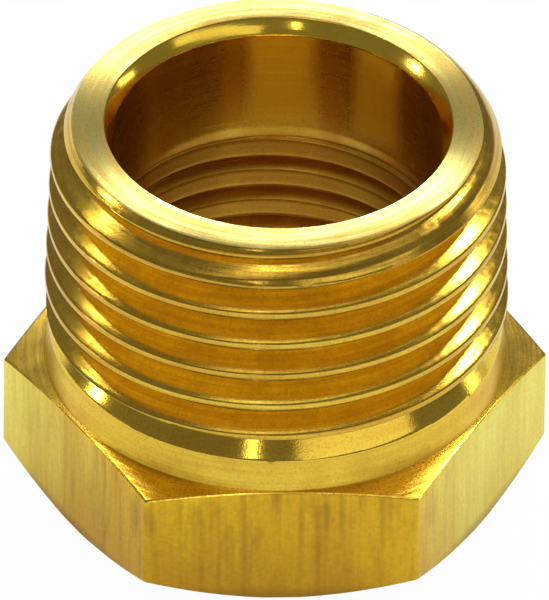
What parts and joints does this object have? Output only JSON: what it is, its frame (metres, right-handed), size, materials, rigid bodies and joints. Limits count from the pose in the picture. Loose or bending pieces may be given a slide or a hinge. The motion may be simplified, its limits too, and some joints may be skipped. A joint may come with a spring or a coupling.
{
  "type": "hex reducing bushing",
  "caption": "Brass hexagon bushing with a tapered outside pipe thread on its stem, a smaller tapped pipe thread in the hexagon end, and a bore right through.",
  "frame": {"origin": "centre of the hexagon's end face, on the axis of the bore", "axes": "+Z along the axis, from the hexagon to the mouth of the threaded stem; +X through a corner of the hexagon; -Y through the flat that faces the front"},
  "size_m": [0.0196, 0.017, 0.015],
  "materials": {
    "brass": "satin as machined, with bright thread flanks and drawn-bar flats"
  },
  "bodies": {
    "root": {"hex_bushing": "brass"}
  },
  "joints": []
}
